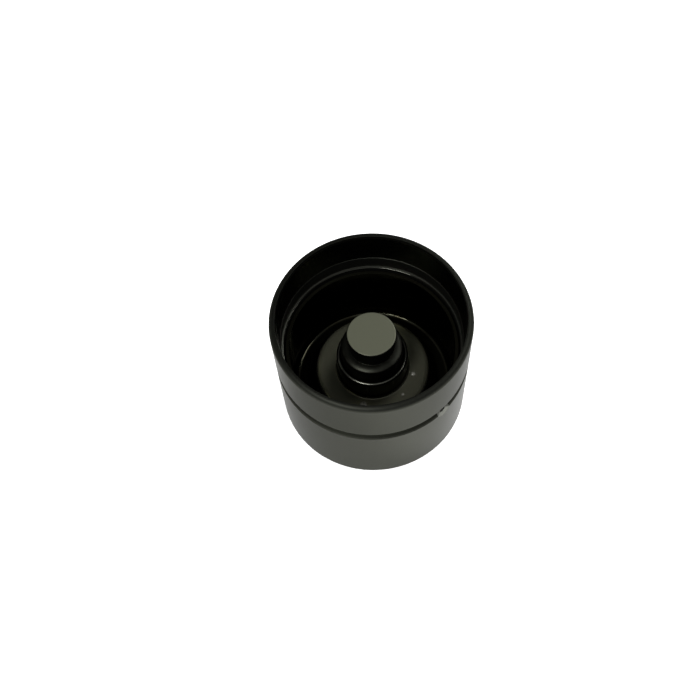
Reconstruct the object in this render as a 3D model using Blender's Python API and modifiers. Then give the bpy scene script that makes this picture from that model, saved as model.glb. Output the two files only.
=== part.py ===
"""Hydraulic valve lifter of the bucket kind, standing on its cam face with its mouth up.

The bucket holds a pressed guide tray. An inner housing slides in the tray's sleeve, over a piston that
stands on the bucket's crown. A sprung check ball closes the piston's oil seat, and a return spring lifts
the housing. Units are metres, the lifter's axis is Z and its cam face lies at Z = 0.
"""

import bmesh
import bpy
import math
from mathutils import Matrix, Vector

# Clearances between pieces
PRESS_GAP = 0.0003
RUNNING_GAP = 0.0003
BALL_SIDE_GAP = 0.0004
SPRING_SEAT_GAP = 0.0002
SPRING_SIDE_GAP = 0.00065
STROKE_END_GAP = 0.0004

# Bucket
BUCKET_DIAMETER = 0.0330
BUCKET_HEIGHT = 0.0260
CROWN_THICKNESS = 0.0024
SKIRT_WALL = 0.00164
STEP_WALL = 0.00136
MOUTH_WALL = 0.00104
STEP_DEPTH = 0.0062
RELIEF_HEIGHT = 0.0027
RELIEF_DEPTH = 0.0001
LEDGE_WIDTH = 0.00006
LEDGE_RISE = 0.00005
LIP_OUTER_ROUND = 0.0009
LIP_INNER_ROUND = 0.0001
CAM_EDGE_ROUND = 0.0006
SHOULDER_EDGE_ROUND = 0.0003
CROWN_FILLET = 0.0008
GROOVE_BELOW_LIP = 0.01045
GROOVE_WIDTH = 0.0021
GROOVE_DEPTH = 0.0006
GROOVE_ROUND = 0.0003
OIL_HOLE_DIAMETER = 0.0011
OIL_HOLE_COUNTERSINK = 0.0026
COUNTERSINK_DEPTH = 0.0004
OIL_HOLE_BELOW_GROOVE = 0.0009
OIL_HOLE_AZIMUTH = math.radians(44)

# Guide tray
TRAY_SHEET = 0.00055
RIM_BELOW_STEP = 0.0005
SLEEVE_LIP_ROUND = 0.00026
MOAT_WIDTH = 0.00245
MOAT_CORNER = 0.0008
SLOPE_RUN = 0.0018
SLOPE_FOOT_ROUND = 0.0008
WEB_RISE = 0.00525
WEB_EDGE_ROUND = 0.0009
SLEEVE_HEIGHT = 0.0048
SLEEVE_FOOT_ROUND = 0.0005

# Inner housing
STROKE = 0.0023
FOOT_GAP = 0.0005
HOUSING_WALL = 0.0011
END_THICKNESS = 0.0053
PAD_HEIGHT = 0.0038
PAD_CHAMFER = 0.0002
PAD_EDGE_HEIGHT = 0.0009
SHOULDER_WIDTH = 0.0011
SHOULDER_FALL = 0.0003
SHOULDER_ROUND = 0.0007
NECK_DEPTH = 0.0003
HOUSING_EDGE_CHAMFER = 0.0002
HOUSING_END_ROUND = 0.0005

# Retaining ring
RING_WIRE = 0.0007
RING_GROOVE_DEPTH = 0.0004
RING_SEAT_GAP = 0.0002
RING_OPENING = math.radians(28)

# Piston
PISTON_LENGTH = 0.0054
PISTON_WALL = 0.0011
PISTON_HEAD = 0.0016
PISTON_EDGE_CHAMFER = 0.0002
SEAT_HOLE_DIAMETER = 0.0022
SEAT_CONE_DEPTH = 0.0006
FOOT_SLOT_WIDTH = 0.0012
FOOT_SLOT_HEIGHT = 0.0007

# Check ball, its cage and the springs
BALL_DIAMETER = 0.0030
CAGE_SHEET = 0.0004
CAGE_CORNER = 0.0003
CAGE_WINDOWS = 3
WINDOW_WIDTH = 0.0012
WINDOW_HEIGHT = 0.0014
BALL_SPRING_WIRE = 0.00025
BALL_SPRING_RADIUS = 0.0009
BALL_SPRING_LENGTH = 0.0013
BALL_SPRING_TURNS = 2.5
RETURN_SPRING_WIRE = 0.0006
RETURN_SPRING_TURNS = 4.5

# Fineness of the meshes
BUCKET_STEPS = 48
INNER_STEPS = 36
BALL_STEPS = 20
FINE_ARC = 3
SMALL_ARC = 2
SMALL_FILLET = 0.00045
SIDE_IN_ARCS = 0.96
COIL_POINTS_PER_TURN = 16
END_TURN_CLOSING = 0.25
CUT_MARGIN = 0.0005

# Heights above the cam face
mouth_z = BUCKET_HEIGHT
relief_top_z = mouth_z - STEP_DEPTH
shoulder_z = relief_top_z - RELIEF_HEIGHT
groove_z = mouth_z - GROOVE_BELOW_LIP
moat_z = CROWN_THICKNESS + PRESS_GAP + TRAY_SHEET
web_z = moat_z + WEB_RISE
sleeve_lip_z = web_z + SLEEVE_HEIGHT
piston_foot_z = CROWN_THICKNESS + PRESS_GAP
piston_top_z = piston_foot_z + PISTON_LENGTH
cage_foot_z = piston_top_z + PRESS_GAP
flange_top_z = cage_foot_z + CAGE_SHEET

# The ball lies RUNNING_GAP off the seat's 45 degree cone, and the ball's spring stands on the ball
seat_hole_radius = SEAT_HOLE_DIAMETER / 2
seat_mouth_radius = seat_hole_radius + SEAT_CONE_DEPTH
ball_radius = BALL_DIAMETER / 2
ball_z = piston_top_z - seat_mouth_radius + math.sqrt(2) * (ball_radius + RUNNING_GAP)
spring_to_ball = ball_radius + SPRING_SEAT_GAP + BALL_SPRING_WIRE / 2
ball_spring_z = ball_z + math.sqrt(spring_to_ball**2 - BALL_SPRING_RADIUS**2)
ball_spring_rise = BALL_SPRING_LENGTH - BALL_SPRING_WIRE
cage_ceiling_z = ball_spring_z + ball_spring_rise + BALL_SPRING_WIRE / 2 + SPRING_SEAT_GAP
cage_top_z = cage_ceiling_z + CAGE_SHEET

# The housing's closed end clears the cage when the stroke is used up
housing_foot_z = CROWN_THICKNESS + STROKE + FOOT_GAP
housing_ceiling_z = cage_top_z + STROKE + STROKE_END_GAP
pad_z = housing_ceiling_z + END_THICKNESS
housing_shoulder_z = pad_z - PAD_HEIGHT

# Radii, from the ball outwards
cage_bore = ball_radius + BALL_SIDE_GAP
cage_radius = cage_bore + CAGE_SHEET
return_spring_radius = cage_radius + SPRING_SIDE_GAP + RETURN_SPRING_WIRE / 2
housing_bore = return_spring_radius + RETURN_SPRING_WIRE / 2 + SPRING_SIDE_GAP
piston_radius = housing_bore - RUNNING_GAP
cage_flange_radius = piston_radius - PISTON_EDGE_CHAMFER
housing_radius = housing_bore + HOUSING_WALL
pad_radius = housing_radius - SHOULDER_WIDTH
sleeve_bore = housing_radius + RUNNING_GAP
sleeve_radius = sleeve_bore + TRAY_SHEET

# Radii, from the bucket's outside inwards
bucket_radius = BUCKET_DIAMETER / 2
mouth_bore = bucket_radius - MOUTH_WALL
step_bore = bucket_radius - STEP_WALL
skirt_bore = bucket_radius - SKIRT_WALL
tray_bore = skirt_bore - PRESS_GAP - TRAY_SHEET
slope_foot_radius = tray_bore - MOAT_WIDTH
web_radius = slope_foot_radius - SLOPE_RUN

# The ring's wire hangs PRESS_GAP below the round foot of the sleeve, which stops it
ring_groove_radius = housing_radius - RING_GROOVE_DEPTH
ring_radius = ring_groove_radius + RING_SEAT_GAP + RING_WIRE / 2
sleeve_foot_centre = Vector((sleeve_radius + SLEEVE_FOOT_ROUND, web_z + SLEEVE_FOOT_ROUND))
ring_reach = SLEEVE_FOOT_ROUND + TRAY_SHEET + PRESS_GAP + RING_WIRE / 2
ring_z = sleeve_foot_centre.y - math.sqrt(ring_reach**2 - (sleeve_foot_centre.x - ring_radius) ** 2)
ring_groove_half = RING_WIRE / 2 + RING_SEAT_GAP


def new_collection(name):
    """A collection of this name, linked to the scene."""
    collection = bpy.data.collections.new(name)
    bpy.context.scene.collection.children.link(collection)
    return collection


def metal(name, colour, roughness):
    """A metallic Principled material."""
    material = bpy.data.materials.new(name)
    material.use_nodes = True
    shader = material.node_tree.nodes["Principled BSDF"]
    shader.inputs["Base Color"].default_value = (*colour, 1)
    shader.inputs["Roughness"].default_value = roughness
    shader.inputs["Metallic"].default_value = 1
    return material


def place(name, data, collection, material=None):
    """An object that holds this data, in this collection."""
    piece = bpy.data.objects.new(name, data)
    collection.objects.link(piece)
    if material:
        data.materials.append(material)
    return piece


def rounded(corners, closed):
    """The outline through corners (radius, height, fillet). Two fillets that meet on a side share it out."""
    points = []
    count = len(corners)
    places = [Vector(corner[:2]) for corner in corners]
    sides = [places[(index + 1) % count] - place for index, place in enumerate(places)]
    halves = [(-sides[index - 1]).angle(sides[index]) / 2 for index in range(count)]
    wanted = [max(corner[2], 0) / math.tan(half) for corner, half in zip(corners, halves)]
    if not closed:
        wanted[0] = wanted[-1] = 0
    shares = [wanted[index] + wanted[(index + 1) % count] for index in range(count)]
    taken = [share / (SIDE_IN_ARCS * side.length) for share, side in zip(shares, sides)]
    for index, (corner, half) in enumerate(zip(places, halves)):
        if wanted[index] == 0:
            points.append(corner)
            continue
        before, after = -sides[index - 1], sides[index]
        reach = wanted[index] / max(1, taken[index - 1], taken[index])
        bisector = (before.normalized() + after.normalized()).normalized()
        centre = corner + bisector * (reach / math.cos(half))
        spoke = corner + before.normalized() * reach - centre
        sweep = math.copysign(math.pi - 2 * half, after.cross(before))
        steps = SMALL_ARC if corners[index][2] < SMALL_FILLET else FINE_ARC
        for step in range(steps + 1):
            points.append(centre + Matrix.Rotation(sweep * step / steps, 2) @ spoke)
    return points


def left_of(corners, distance):
    """The same line moved to its left by this distance, its fillets opened or closed to match."""
    moved = []
    last = len(corners) - 1
    for index, (radius, height, fillet) in enumerate(corners):
        here = Vector((radius, height))
        into = here - Vector(corners[max(index - 1, 0)][:2])
        out = Vector(corners[min(index + 1, last)][:2]) - here
        into = (into if into.length else out).normalized()
        out = (out if out.length else into).normalized()
        turn = into.cross(out)
        mitre = (into.orthogonal() + out.orthogonal()) / (1 + into.dot(out))
        here += mitre * distance
        moved.append((here.x, here.y, fillet - math.copysign(distance, turn) if fillet else 0))
    return moved


def turned(name, corners, collection, material=None, steps=INNER_STEPS, closed=False):
    """A turned piece: the outline through the corners, swept round Z."""
    outline = rounded(corners, closed)
    count = len(outline)
    mesh = bpy.data.meshes.new(name)
    edges = [(index, (index + 1) % count) for index in range(count if closed else count - 1)]
    mesh.from_pydata([(point.x, 0, point.y) for point in outline], edges, [])
    piece = place(name, mesh, collection, material)
    screw = piece.modifiers.new("Turn", "SCREW")
    screw.steps = steps
    screw.render_steps = steps
    screw.use_merge_vertices = True
    screw.merge_threshold = 0.00001
    screw.use_smooth_shade = True
    return piece


def cut(piece, cutter):
    """Takes the cutter's shape out of the piece."""
    cutter.hide_render = True
    cutter.display_type = "WIRE"
    boolean = piece.modifiers.new(cutter.name, "BOOLEAN")
    boolean.operation = "DIFFERENCE"
    boolean.object = cutter


def box_cutter(name, size, centre, turn, collection):
    """A box of this size, its centre turned with it round Z."""
    mesh = bpy.data.meshes.new(name)
    shape = bmesh.new()
    bmesh.ops.create_cube(shape, size=1)
    bmesh.ops.scale(shape, vec=size, verts=shape.verts)
    shape.to_mesh(mesh)
    shape.free()
    box = place(name, mesh, collection)
    box.rotation_euler.z = turn
    box.location = Matrix.Rotation(turn, 3, "Z") @ Vector(centre)
    return box


def wire(name, points, thickness, collection, material):
    """A round wire of this thickness through these points."""
    curve = bpy.data.curves.new(name, "CURVE")
    curve.dimensions = "3D"
    curve.bevel_depth = thickness / 2
    curve.bevel_resolution = 2
    curve.use_fill_caps = True
    spline = curve.splines.new("POLY")
    spline.points.add(len(points) - 1)
    for point, place_of in zip(spline.points, points):
        point.co = (*place_of, 1)
    return place(name, curve, collection, material)


def coil(radius, foot_z, rise, turns):
    """Points of a helix that starts at foot_z and rises by rise, with its end turns drawn closer together."""
    points = []
    count = round(turns * COIL_POINTS_PER_TURN)
    for index in range(count + 1):
        share = index / count
        closing = END_TURN_CLOSING * math.sin(2 * math.pi * share) / (2 * math.pi)
        angle = 2 * math.pi * turns * share
        points.append((radius * math.cos(angle), radius * math.sin(angle), foot_z + rise * (share - closing)))
    return points


def make_bucket(parts, cutters, material):
    """The cup: crown below, skirt with an oil groove outside and a relieved step inside, oil feed hole."""
    relief_bore = step_bore + RELIEF_DEPTH
    groove_floor = bucket_radius - GROOVE_DEPTH
    groove_half = GROOVE_WIDTH / 2
    floor_half = groove_half - GROOVE_DEPTH
    corners = [
        (0, CROWN_THICKNESS, 0),
        (skirt_bore, CROWN_THICKNESS, CROWN_FILLET),
        (skirt_bore, shoulder_z, SHOULDER_EDGE_ROUND),
        (relief_bore, shoulder_z + RELIEF_DEPTH, 0),
        (relief_bore, relief_top_z - RELIEF_DEPTH, 0),
        (step_bore, relief_top_z, 0),
        (step_bore + LEDGE_WIDTH, relief_top_z + LEDGE_RISE, 0),
        (mouth_bore, mouth_z, LIP_INNER_ROUND),
        (bucket_radius, mouth_z, LIP_OUTER_ROUND),
        (bucket_radius, groove_z + groove_half, 0),
        (groove_floor, groove_z + floor_half, GROOVE_ROUND),
        (groove_floor, groove_z - floor_half, GROOVE_ROUND),
        (bucket_radius, groove_z - groove_half, 0),
        (bucket_radius, 0, CAM_EDGE_ROUND),
        (0, 0, 0),
    ]
    bucket = turned("bucket", corners, parts, material, BUCKET_STEPS)
    hole = OIL_HOLE_DIAMETER / 2
    sink = OIL_HOLE_COUNTERSINK / 2
    outside = bucket_radius + CUT_MARGIN
    inside = skirt_bore - CUT_MARGIN
    widening = CUT_MARGIN * (sink - hole) / COUNTERSINK_DEPTH
    drill = turned(
        "oil_hole_cutter",
        [
            (0, outside, 0),
            (sink + widening, outside, 0),
            (hole, bucket_radius - COUNTERSINK_DEPTH, 0),
            (hole, inside, 0),
            (0, inside, 0),
        ],
        cutters,
        steps=BALL_STEPS,
    )
    drill.rotation_euler = (math.pi / 2, 0, OIL_HOLE_AZIMUTH)
    drill.location.z = groove_z - OIL_HOLE_BELOW_GROOVE
    cut(bucket, drill)


def make_guide_tray(parts, material):
    """The drawn sheet tray: rim, moat, slope, raised web and guide sleeve, the same sheet all through."""
    face = [
        (tray_bore, shoulder_z - RIM_BELOW_STEP, 0),
        (tray_bore, moat_z, MOAT_CORNER),
        (slope_foot_radius, moat_z, SLOPE_FOOT_ROUND),
        (web_radius, web_z, WEB_EDGE_ROUND),
        (sleeve_radius, web_z, SLEEVE_FOOT_ROUND),
        (sleeve_radius, sleeve_lip_z, SLEEVE_LIP_ROUND),
    ]
    back = left_of(face, TRAY_SHEET)
    back[-1] = (*back[-1][:2], SLEEVE_LIP_ROUND)
    turned("guide_tray", back + face[::-1], parts, material, BUCKET_STEPS, closed=True)


def make_inner_housing(parts, material):
    """The sliding cup: stem pad, neck, falling shoulder, body with the ring's groove, open below."""
    neck_radius = pad_radius - NECK_DEPTH
    pad_edge_z = pad_z - PAD_EDGE_HEIGHT
    corners = [
        (0, pad_z, 0),
        (pad_radius - PAD_CHAMFER, pad_z, 0),
        (pad_radius, pad_z - PAD_CHAMFER, 0),
        (pad_radius, pad_edge_z, 0),
        (neck_radius, pad_edge_z - NECK_DEPTH, 0),
        (neck_radius, housing_shoulder_z, 0),
        (housing_radius, housing_shoulder_z - SHOULDER_FALL, SHOULDER_ROUND),
        (housing_radius, ring_z + ring_groove_half, 0),
        (ring_groove_radius, ring_z + ring_groove_half, 0),
        (ring_groove_radius, ring_z - ring_groove_half, 0),
        (housing_radius, ring_z - ring_groove_half, 0),
        (housing_radius, housing_foot_z + HOUSING_EDGE_CHAMFER, 0),
        (housing_radius - HOUSING_EDGE_CHAMFER, housing_foot_z, 0),
        (housing_bore + HOUSING_EDGE_CHAMFER, housing_foot_z, 0),
        (housing_bore, housing_foot_z + HOUSING_EDGE_CHAMFER, 0),
        (housing_bore, housing_ceiling_z, HOUSING_END_ROUND),
        (0, housing_ceiling_z, 0),
    ]
    turned("inner_housing", corners, parts, material)


def make_retaining_ring(parts, material):
    """The split wire ring in the housing's groove, its opening to the back."""
    half = math.pi - RING_OPENING / 2
    count = 2 * COIL_POINTS_PER_TURN
    angles = [-math.pi / 2 - half + 2 * half * index / count for index in range(count + 1)]
    points = [(ring_radius * math.cos(angle), ring_radius * math.sin(angle), ring_z) for angle in angles]
    wire("retaining_ring", points, RING_WIRE, parts, material)


def make_piston(parts, cutters, material):
    """The piston: oil reservoir open below, a slot across its foot, the ball's conical seat on top."""
    reservoir = piston_radius - PISTON_WALL
    reservoir_z = piston_top_z - PISTON_HEAD
    seat_foot_z = piston_top_z - SEAT_CONE_DEPTH
    corners = [
        (piston_radius - PISTON_EDGE_CHAMFER, piston_top_z, 0),
        (piston_radius, piston_top_z - PISTON_EDGE_CHAMFER, 0),
        (piston_radius, piston_foot_z + PISTON_EDGE_CHAMFER, 0),
        (piston_radius - PISTON_EDGE_CHAMFER, piston_foot_z, 0),
        (reservoir, piston_foot_z, 0),
        (reservoir, reservoir_z, PISTON_EDGE_CHAMFER),
        (seat_hole_radius, reservoir_z, 0),
        (seat_hole_radius, seat_foot_z, 0),
        (seat_mouth_radius, piston_top_z, 0),
    ]
    piston = turned("piston", corners, parts, material, closed=True)
    slot_size = (2 * piston_radius + 2 * CUT_MARGIN, FOOT_SLOT_WIDTH, 2 * FOOT_SLOT_HEIGHT)
    cut(piston, box_cutter("foot_slot_cutter", slot_size, (0, 0, piston_foot_z), 0, cutters))


def make_check_ball(parts, material):
    """The ball, over the piston's seat."""
    mesh = bpy.data.meshes.new("check_ball")
    shape = bmesh.new()
    bmesh.ops.create_uvsphere(shape, u_segments=BALL_STEPS, v_segments=BALL_STEPS // 2, radius=ball_radius)
    shape.to_mesh(mesh)
    shape.free()
    mesh.shade_smooth()
    place("check_ball", mesh, parts, material).location.z = ball_z


def make_ball_cage(parts, cutters, material):
    """The pressed cap over the ball: flange on the piston, wall with oil windows, closed top."""
    corners = [
        (0, cage_top_z, 0),
        (cage_radius, cage_top_z, CAGE_CORNER + CAGE_SHEET),
        (cage_radius, flange_top_z, CAGE_CORNER),
        (cage_flange_radius, flange_top_z, 0),
        (cage_flange_radius, cage_foot_z, 0),
        (cage_bore, cage_foot_z, CAGE_CORNER),
        (cage_bore, cage_ceiling_z, CAGE_CORNER),
        (0, cage_ceiling_z, 0),
    ]
    cage = turned("ball_cage", corners, parts, material)
    window_z = (flange_top_z + cage_ceiling_z) / 2
    size = (2 * CAGE_SHEET, WINDOW_WIDTH, WINDOW_HEIGHT)
    centre = ((cage_bore + cage_radius) / 2, 0, window_z)
    for index in range(CAGE_WINDOWS):
        turn = 2 * math.pi * index / CAGE_WINDOWS
        cut(cage, box_cutter(f"window_cutter_{index + 1}", size, centre, turn, cutters))


def make_ball_spring(parts, material):
    """The ball's spring, between the ball and the cage's top."""
    points = coil(BALL_SPRING_RADIUS, ball_spring_z, ball_spring_rise, BALL_SPRING_TURNS)
    wire("ball_spring", points, BALL_SPRING_WIRE, parts, material)


def make_return_spring(parts, material):
    """The return spring, between the cage's flange and the housing's closed end."""
    end = SPRING_SEAT_GAP + RETURN_SPRING_WIRE / 2
    foot_z = flange_top_z + end
    rise = housing_ceiling_z - end - foot_z
    points = coil(return_spring_radius, foot_z, rise, RETURN_SPRING_TURNS)
    wire("return_spring", points, RETURN_SPRING_WIRE, parts, material)


def main():
    for piece in list(bpy.data.objects):
        bpy.data.objects.remove(piece)
    parts = new_collection("hydraulic_valve_lifter")
    cutters = new_collection("hydraulic_valve_lifter_cutters")
    make_bucket(parts, cutters, metal("oiled_bucket_steel", (0.105, 0.108, 0.092), 0.32))
    make_guide_tray(parts, metal("pressed_tray_steel", (0.085, 0.088, 0.068), 0.36))
    make_inner_housing(parts, metal("ground_housing_steel", (0.20, 0.20, 0.17), 0.30))
    make_retaining_ring(parts, metal("ring_wire_steel", (0.10, 0.10, 0.09), 0.40))
    make_piston(parts, cutters, metal("ground_piston_steel", (0.24, 0.24, 0.22), 0.25))
    make_check_ball(parts, metal("polished_ball_steel", (0.55, 0.55, 0.54), 0.10))
    make_ball_cage(parts, cutters, metal("pressed_cage_steel", (0.28, 0.28, 0.26), 0.35))
    make_ball_spring(parts, metal("ball_spring_steel", (0.35, 0.35, 0.33), 0.30))
    make_return_spring(parts, metal("return_spring_steel", (0.30, 0.30, 0.28), 0.30))


main()
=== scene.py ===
"""Looks of a hydraulic bucket lifter: its steel pieces, their oiled finish and the studio round them.

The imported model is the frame. Each piece takes its place from it and rides on the body that it belongs to.
Units are metres and the lifter's axis is Z. Azimuth 0 is the camera's side, -Y, and azimuth 90 is +X.
"""

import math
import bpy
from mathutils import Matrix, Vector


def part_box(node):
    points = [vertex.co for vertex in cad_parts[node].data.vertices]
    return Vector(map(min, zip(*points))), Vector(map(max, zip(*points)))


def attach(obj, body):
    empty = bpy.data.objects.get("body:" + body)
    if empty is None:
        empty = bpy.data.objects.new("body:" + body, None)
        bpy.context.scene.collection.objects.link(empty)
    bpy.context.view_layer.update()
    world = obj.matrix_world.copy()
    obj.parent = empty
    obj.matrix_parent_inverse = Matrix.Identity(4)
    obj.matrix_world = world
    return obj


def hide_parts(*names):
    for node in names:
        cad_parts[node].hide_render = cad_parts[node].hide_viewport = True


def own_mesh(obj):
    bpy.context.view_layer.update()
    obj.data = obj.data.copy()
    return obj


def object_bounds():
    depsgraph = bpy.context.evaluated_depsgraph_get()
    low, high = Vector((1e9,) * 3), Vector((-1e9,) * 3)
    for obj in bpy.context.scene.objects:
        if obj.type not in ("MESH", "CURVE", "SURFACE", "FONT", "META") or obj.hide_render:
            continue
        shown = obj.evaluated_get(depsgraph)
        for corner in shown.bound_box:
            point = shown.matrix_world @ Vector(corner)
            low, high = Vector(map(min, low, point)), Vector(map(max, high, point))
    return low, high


bl_info = {
    "name": "Hydraulic Bucket Lifter",
    "version": (1, 0, 0),
    "blender": (4, 5, 0),
    "location": "View3D > Sidebar > Lifter",
    "description": "Makes a bucket lifter with a sprung inner housing, and a plain studio round it",
    "category": "Add Mesh",
}

import bmesh
import bpy
import numpy as np
from bpy.props import FloatProperty, FloatVectorProperty, IntProperty, PointerProperty
from mathutils import Matrix, Vector

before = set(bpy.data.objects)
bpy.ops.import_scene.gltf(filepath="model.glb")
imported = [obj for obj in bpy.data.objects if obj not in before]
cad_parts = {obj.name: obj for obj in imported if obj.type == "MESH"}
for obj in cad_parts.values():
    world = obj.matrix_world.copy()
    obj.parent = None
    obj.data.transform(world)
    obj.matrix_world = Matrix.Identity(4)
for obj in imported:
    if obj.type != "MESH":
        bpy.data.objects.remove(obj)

CAD_LOW, CAD_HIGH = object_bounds()
TRAY_LOW, TRAY_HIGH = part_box("guide_tray")
HOUSING_LOW, HOUSING_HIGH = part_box("inner_housing")
RING_LOW, RING_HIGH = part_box("retaining_ring")
PISTON_LOW, PISTON_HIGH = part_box("piston")
BALL_LOW, BALL_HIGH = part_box("check_ball")
CAGE_LOW, CAGE_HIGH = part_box("ball_cage")
BALL_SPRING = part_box("ball_spring")
RETURN_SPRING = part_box("return_spring")

# How far a finished piece's box may lie from its node's box
PLACE_TOLERANCE = 0.00012
# Points closer than this become one
WELD = 1e-8

# How finely the pieces are divided
ARC_STEPS = 6
TURN_STEPS = 180
WIRE_SIDES = 16
WIRE_STEPS_PER_TURN = 40
BALL_ROWS = 33
HOLE_ROWS = 49
HOLE_COLUMNS = 29
HOLE_RINGS = 15
SLOT_COLUMNS = 5
SLOT_SIDE_COLUMNS = 44
WINDOW_LINES = 7
BETWEEN_WINDOWS = 26
DROP_STEPS = 32

# Share of a side that the fillets at its ends may take, and the least turn that one is worked out for
SIDE_IN_ARCS = 0.96
LEAST_TURN = 1e-9
# Round of a wire's flat end, of half its thickness
WIRE_END_ROUND = 0.25
# Edges sharper than this look sharp on the piston and on the cage
CREASE = math.radians(35)

# Oil drops on the web: x, y and radius, and how high a drop stands for its radius
OIL_DROPS = ((-0.00188, -0.00751, 0.00065), (0.00705, -0.00187, 0.0004), (0.00506, -0.00574, 0.00026))
DROP_RISE = 0.4

# Width over which a face's own finish fades out sideways, and the countersink's
FACE_FADE = 0.0004
HOLE_FADE = 0.0001
# Heights over which such a finish sets in, or its distance from the face
FACE_RISE = 0.0001
LEDGE_SKIN = 0.00001
TOP_SKIN = 0.00002
TOP_DEPTH = 0.00006
EDGE_DROP = 0.0002
LIP_RISE = 0.0006
WEB_DEPTH = 0.0008
SLEEVE_LIP_DEPTH = 0.0004
# How far such a finish stops inside the moat's wall, and outside the skirt
MOAT_MARGIN = 0.0005
GROOVE_MARGIN = 0.0001

# Depth of the turning lines in each kind of steel, their bump and how far they drift along the axis
GROUND_LINES = 0.06
DRAWN_LINES = 0.1
PRESSED_LINES = 0.05
LINE_BUMP = 0.00001
LINE_DRIFT = 0.06
# From bare steel to a full blotch of oil, in the noise, and the share of the gloss at either end
BLOTCH_EDGES = (0.35, 0.68)
BLOTCH_ROUGHNESS = 0.55
GLOSS_EDGES = (-0.6, 0.8)
GLOSS_SHARES = (0.75, 1.3)
# Mottle of drawn wire: its fineness, its darker tone and the share of the gloss at either end
MOTTLE_SCALE = 1800
MOTTLE_TONE = 0.6
MOTTLE_SHARES = (0.7, 1.4)

# Rise of a direction from the room's pale walls to its dim ceiling
ROOM_RISE = (0.05, 0.7)
# Share of the screen's reach that is evenly bright
SCREEN_CORE = 1 / 3
CLIP_START = 0.001


def length(name, description, default):
    """A length in metres."""
    kind = {"unit": "LENGTH", "subtype": "DISTANCE", "precision": 5}
    return FloatProperty(name=name, description=description, default=default, min=0, **kind)


def angle(name, description, degrees):
    """An angle, given in degrees and kept in radians."""
    return FloatProperty(name=name, description=description, default=math.radians(degrees), subtype="ANGLE")


def share(name, description, default):
    """A number between nothing and all."""
    return FloatProperty(name=name, description=description, default=default, min=0, max=1, subtype="FACTOR")


def plain_number(name, description, default, least=0):
    """A plain number."""
    return FloatProperty(name=name, description=description, default=default, min=least)


def colour(name, description, default):
    """A linear colour."""
    kind = {"min": 0, "max": 1, "size": 3, "subtype": "COLOR"}
    return FloatVectorProperty(name=name, description=description, default=default, **kind)


class LifterBucket(bpy.types.PropertyGroup):
    """Sizes of the bucket"""

    diameter: length("Diameter", "Outside of the skirt", 2 * CAD_HIGH.x)
    height: length("Height", "From the cam face to the mouth", CAD_HIGH.z)
    crown: length("Crown", "Thickness of the closed end", 0.0024)
    skirt_wall: length("Skirt wall", "Wall beside the guide tray", 0.00164)
    step_wall: length("Step wall", "Wall just above the relief", 0.00136)
    mouth_wall: length("Mouth wall", "Wall at the mouth", 0.00104)
    step_depth: length("Step depth", "From the mouth down to the relief", 0.0062)
    relief_height: length("Relief height", "Height of the relief above the shoulder", 0.0027)
    relief_depth: length("Relief depth", "How deep the relief is cut into the wall", 0.0001)
    ledge_width: length("Ledge width", "Width of the small ledge above the relief", 0.00006)
    ledge_rise: length("Ledge rise", "How far that ledge slopes up to the wall", 0.00005)
    lip_outer_round: length("Lip outer round", "Round of the mouth outside", 0.0009)
    lip_inner_round: length("Lip inner round", "Round of the mouth inside", 0.00004)
    cam_edge_round: length("Cam edge round", "Round of the cam face's edge", 0.0006)
    shoulder_round: length("Shoulder round", "Round of the shoulder that the tray sits under", 0.0003)
    crown_fillet: length("Crown fillet", "Fillet between crown and skirt", 0.0008)
    groove_below_lip: length("Groove below lip", "From the mouth to the middle of the oil groove", 0.01045)
    groove_width: length("Groove width", "Width of the oil groove at the skirt", 0.0021)
    groove_depth: length("Groove depth", "Depth of the oil groove", 0.0006)
    groove_round: length("Groove round", "Round of the oil groove's floor corners", 0.0003)
    hole_diameter: length("Oil hole", "Diameter of the oil feed hole", 0.0011)
    hole_sink: length("Oil hole countersink", "Diameter of the countersink at the skirt", 0.0026)
    hole_sink_depth: length("Oil hole countersink depth", "Depth of the countersink at the hole", 0.0004)
    hole_drop: length("Oil hole drop", "From the middle of the oil groove down to the hole", 0.0009)
    hole_azimuth: angle("Oil hole azimuth", "Where the oil feed hole stands", 44)
    hole_field: length("Oil hole field", "Half height of the finely divided field round the hole", 0.0024)
    edge_break: length("Edge break", "Round of edges that look sharp", 0.00008)
    ledge_break: length("Ledge break", "Round of the small ledge's edges", 0.00001)


class LifterTray(bpy.types.PropertyGroup):
    """Sizes of the guide tray"""

    sheet: length("Sheet", "Thickness of the drawn sheet", 0.00055)
    lip_round: length("Sleeve lip round", "Round of the sleeve's lip outside", 0.00042)
    lip_break: length("Sleeve lip break", "Round of the sleeve's lip inside", 0.0001)
    edge_break: length("Edge break", "Round of the rim's cut edge", 0.00004)
    moat_width: length("Moat width", "Width of the low ring next to the skirt", 0.00245)
    moat_corner: length("Moat corner", "Fillet where the rim meets the moat", 0.0008)
    slope_run: length("Slope run", "How far the slope reaches inwards", 0.0018)
    slope_foot_round: length("Slope foot round", "Round at the slope's foot", 0.0008)
    web_rise: length("Web rise", "From the moat up to the web", 0.00525)
    web_edge_round: length("Web edge round", "Round of the web's outer edge", 0.0009)
    sleeve_height: length("Sleeve height", "From the web up to the sleeve's lip", 0.0048)
    sleeve_foot_round: length("Sleeve foot round", "Fillet between web and sleeve", 0.0005)
    sleeve_radius: length("Sleeve radius", "Outside radius of the guide sleeve", HOUSING_HIGH.x + 0.00085)


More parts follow.
